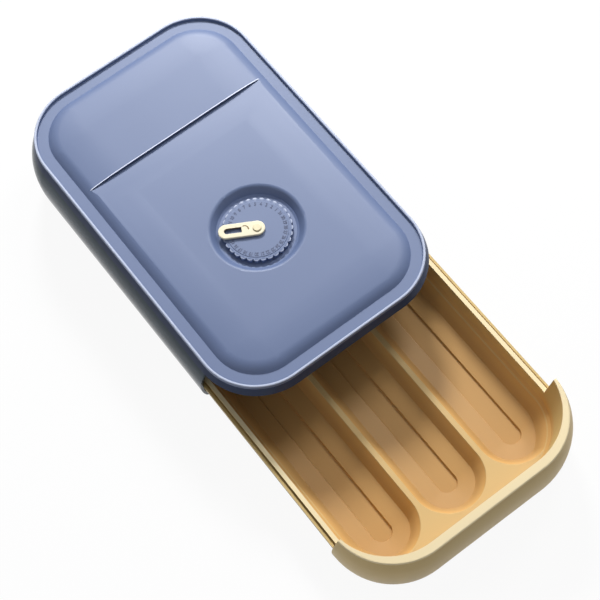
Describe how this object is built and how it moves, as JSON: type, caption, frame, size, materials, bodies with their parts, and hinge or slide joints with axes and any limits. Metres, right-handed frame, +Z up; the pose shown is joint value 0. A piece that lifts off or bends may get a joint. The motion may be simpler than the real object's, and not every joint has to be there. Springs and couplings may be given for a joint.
{
  "type": "egg drawer box",
  "caption": "Covered box with a sliding egg drawer: barrel-sided translucent case, crowned cover with a recessed date dial, and a laned drawer whose front wraps round the corners.",
  "frame": {"origin": "middle of the base on the surface that the box stands on, below the middle of the cover", "axes": "+Z up, -Y the way the drawer opens, +X to the right seen from behind the box towards its drawer's back"},
  "size_m": [0.214, 0.499, 0.076],
  "materials": {
    "smoke": "smoky translucent gloss",
    "blue": "matte dusty blue",
    "cream": "satin cream"
  },
  "bodies": {
    "case": {"case": "smoke", "top_cover": "blue", "pivot_pin": "cream"},
    "drawer": {"drawer": "cream"},
    "date_disc": {"date_disc": "blue"},
    "date_pointer": {"date_pointer": "cream"}
  },
  "joints": [
    {"name": "drawer_slide", "type": "slide", "parent": "case", "child": "drawer", "axis": [0, -1, 0], "range_m": [-0.165, 0.06]},
    {"name": "disc_turn", "type": "hinge", "parent": "case", "child": "date_disc", "pos_m": [0, -0.043, 0.069], "axis": [0, 0, 1], "continuous": true},
    {"name": "pointer_turn", "type": "hinge", "parent": "case", "child": "date_pointer", "pos_m": [0, -0.043, 0.073], "axis": [0, 0, 1], "continuous": true}
  ]
}
